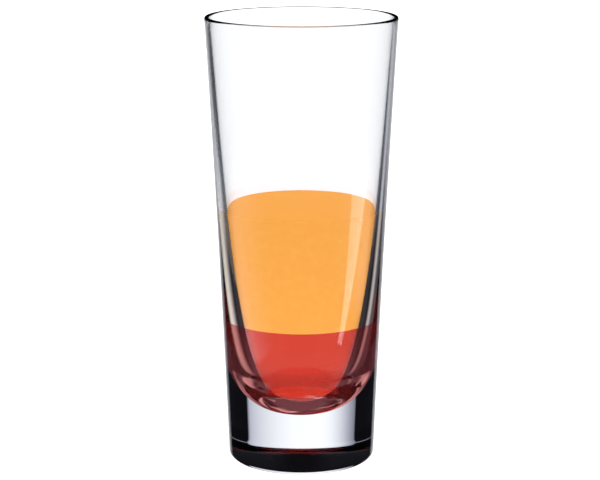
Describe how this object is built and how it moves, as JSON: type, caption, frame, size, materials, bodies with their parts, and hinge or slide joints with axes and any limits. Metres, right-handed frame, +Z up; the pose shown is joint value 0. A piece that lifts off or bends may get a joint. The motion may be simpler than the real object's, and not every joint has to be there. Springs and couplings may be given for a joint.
{
  "type": "layered orange aperitif drink",
  "caption": "Tall thick-based glass tumbler holding a layered drink, clear red bitter aperitif below and orange juice above, with free space up to the rim.",
  "frame": {"origin": "centre of the tumbler's foot, on the surface it stands on", "axes": "+Z up along the tumbler's axis of revolution, towards the rim; the part is the same all round, so +X and +Y are any two level directions"},
  "size_m": [0.0638, 0.0638, 0.15],
  "materials": {
    "clear_glass": "clear polished",
    "red_aperitif": "clear red liquid",
    "orange_juice": "cloudy liquid with a glossy surface"
  },
  "bodies": {
    "root": {"glass": "clear_glass", "red_aperitif": "red_aperitif", "orange_juice": "orange_juice"}
  },
  "joints": []
}
